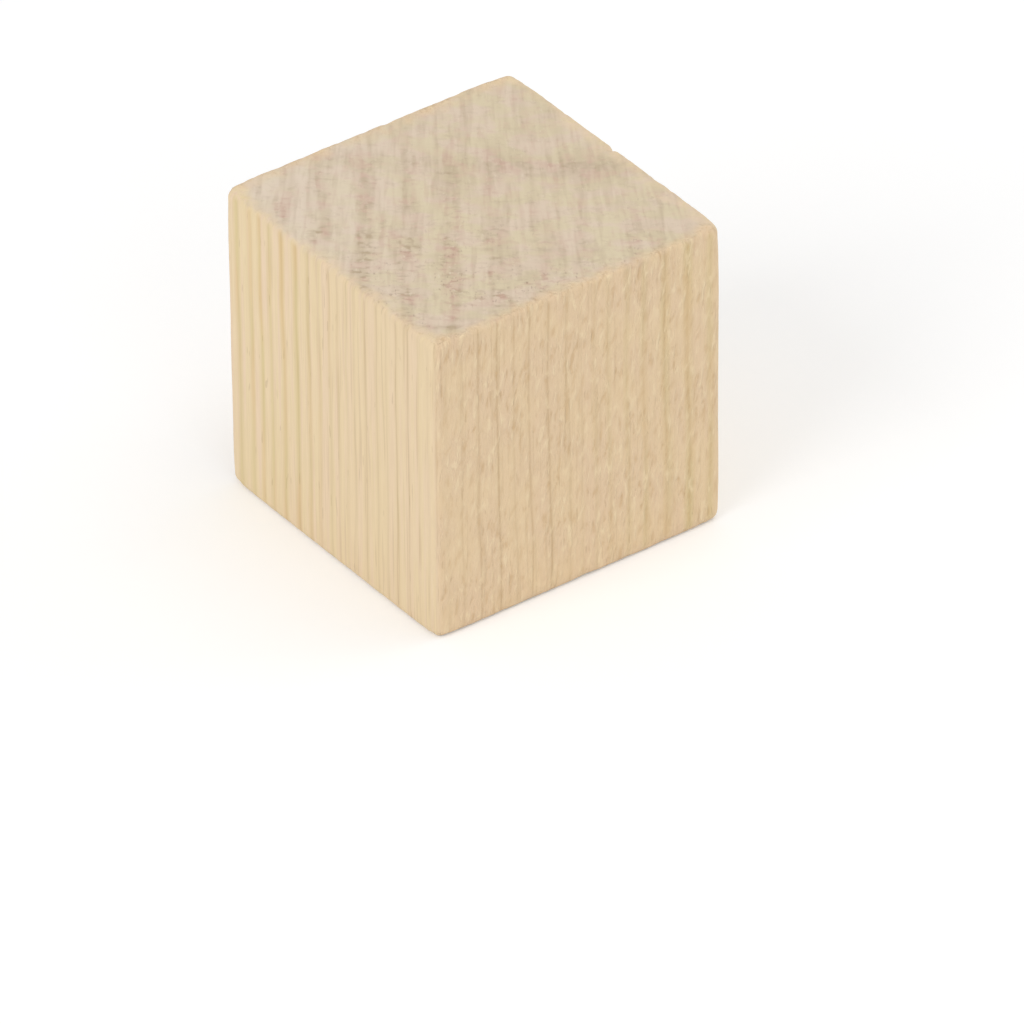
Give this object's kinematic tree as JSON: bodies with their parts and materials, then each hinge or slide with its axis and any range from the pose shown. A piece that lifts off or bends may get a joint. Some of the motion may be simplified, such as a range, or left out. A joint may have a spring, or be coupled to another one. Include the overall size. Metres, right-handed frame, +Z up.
{
  "type": "wooden cube",
  "caption": "Solid cube of bare softwood with smooth sides, sawn ends and lightly eased edges, for stacking, spacing and craft work.",
  "frame": {"origin": "middle of the bottom end-grain face, the face that the cube rests on", "axes": "+Z up, along the grain; the two planed sides face Y and the two ripped sides face X; the front side faces -Y"},
  "size_m": [0.02, 0.02, 0.02],
  "materials": {
    "bare_softwood": "bare, planed and ripped sides, sawn ends"
  },
  "bodies": {
    "root": {"cube_body": "bare_softwood"}
  },
  "joints": []
}
